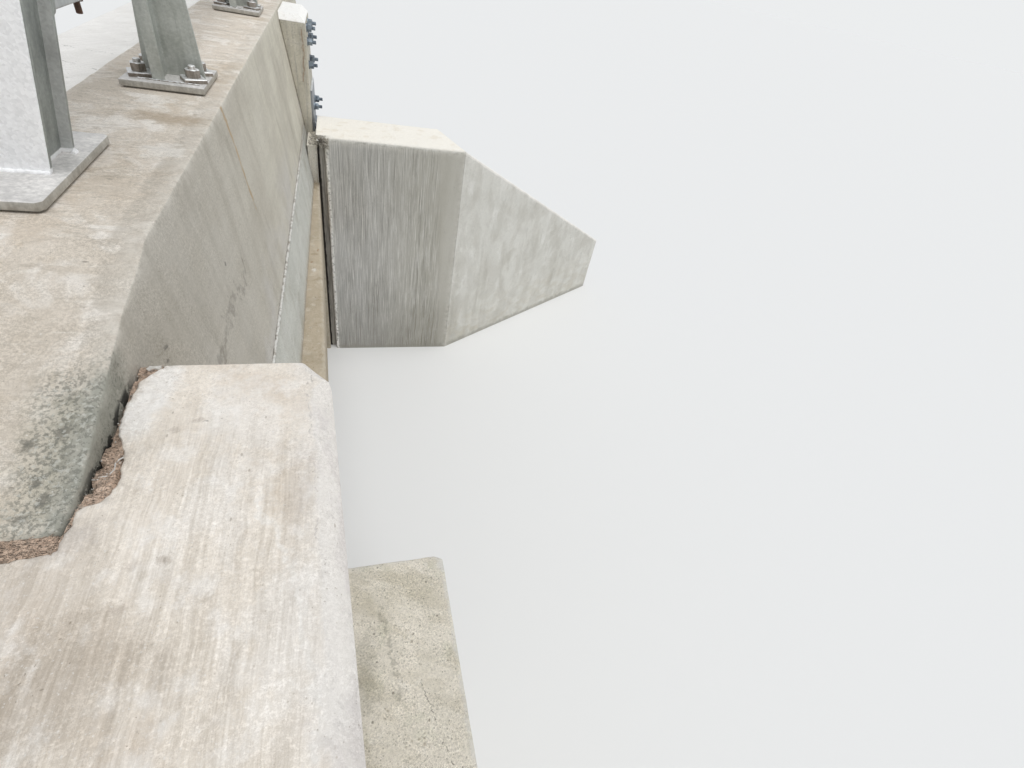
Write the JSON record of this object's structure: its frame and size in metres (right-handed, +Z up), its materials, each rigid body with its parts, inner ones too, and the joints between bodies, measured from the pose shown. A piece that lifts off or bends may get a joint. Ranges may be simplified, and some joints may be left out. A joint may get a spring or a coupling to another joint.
{
  "type": "culvert headwall",
  "caption": "Concrete headwall over a box culvert mouth, with a ramped coping, wing walls and a steel post and tube railing on base plates.",
  "frame": {"origin": "foot level, under the outer edge of the coping, in the middle of the near side wall of the culvert", "axes": "+Z up, +X out over the stream, +Y along the headwall from the ramped end of the coping to its far end"},
  "size_m": [4.76, 7.9, 3.791],
  "materials": {
    "coping_concrete": "smooth trowelled beige concrete, damp",
    "fascia_concrete": "grey plastered concrete with damp stains",
    "old_concrete": "older brown stained concrete",
    "step_concrete": "greenish grey worn concrete",
    "wing_concrete": "board streaked grey concrete",
    "slab_concrete": "brushed pale concrete",
    "strip_concrete": "pale floated concrete",
    "pilaster_concrete": "dark grey concrete with streaks",
    "cap_concrete": "pale smooth concrete",
    "fibre_board": "coarse brown fibre",
    "mortar": "dark grey mortar",
    "post_steel": "weathered galvanized, dull",
    "rail_steel": "weathered galvanized, dull",
    "base_steel": "weathered galvanized with rust specks",
    "bolt_steel": "galvanized with rust",
    "plate_steel": "galvanized, dull",
    "rusty_steel": "rusted"
  },
  "bodies": {
    "root": {"drop_bolt": "rusty_steel", "end_post": "post_steel", "end_post_anchors": "bolt_steel", "end_post_base": "base_steel", "end_post_grout": "mortar", "far_side_wall": "old_concrete", "far_wing_flare": "wing_concrete", "far_wing_wall": "wing_concrete", "joint_filler": "fibre_board", "lower_lift": "fascia_concrete", "lower_rail": "rail_steel", "lower_studs": "bolt_steel", "middle_rail": "rail_steel", "near_side_wall": "old_concrete", "near_wing_wall": "slab_concrete", "parapet": "coping_concrete", "pilaster": "pilaster_concrete", "pilaster_cap": "cap_concrete", "pilaster_plate": "plate_steel", "post_2": "post_steel", "post_2_anchors": "bolt_steel", "post_2_base": "base_steel", "post_2_clips": "post_steel", "post_2_grout": "mortar", "post_3": "post_steel", "post_3_anchors": "bolt_steel", "post_3_base": "base_steel", "post_3_clips": "post_steel", "post_3_grout": "mortar", "post_4": "post_steel", "post_4_anchors": "bolt_steel", "post_4_base": "base_steel", "post_4_clips": "post_steel", "post_4_grout": "mortar", "rail_end_plates": "post_steel", "road_strip": "strip_concrete", "roof_slab": "old_concrete", "run_on_wall": "old_concrete", "step_wall": "step_concrete", "top_rail": "rail_steel", "upper_studs": "bolt_steel", "wing_joint_filler": "fibre_board"}
  },
  "joints": []
}
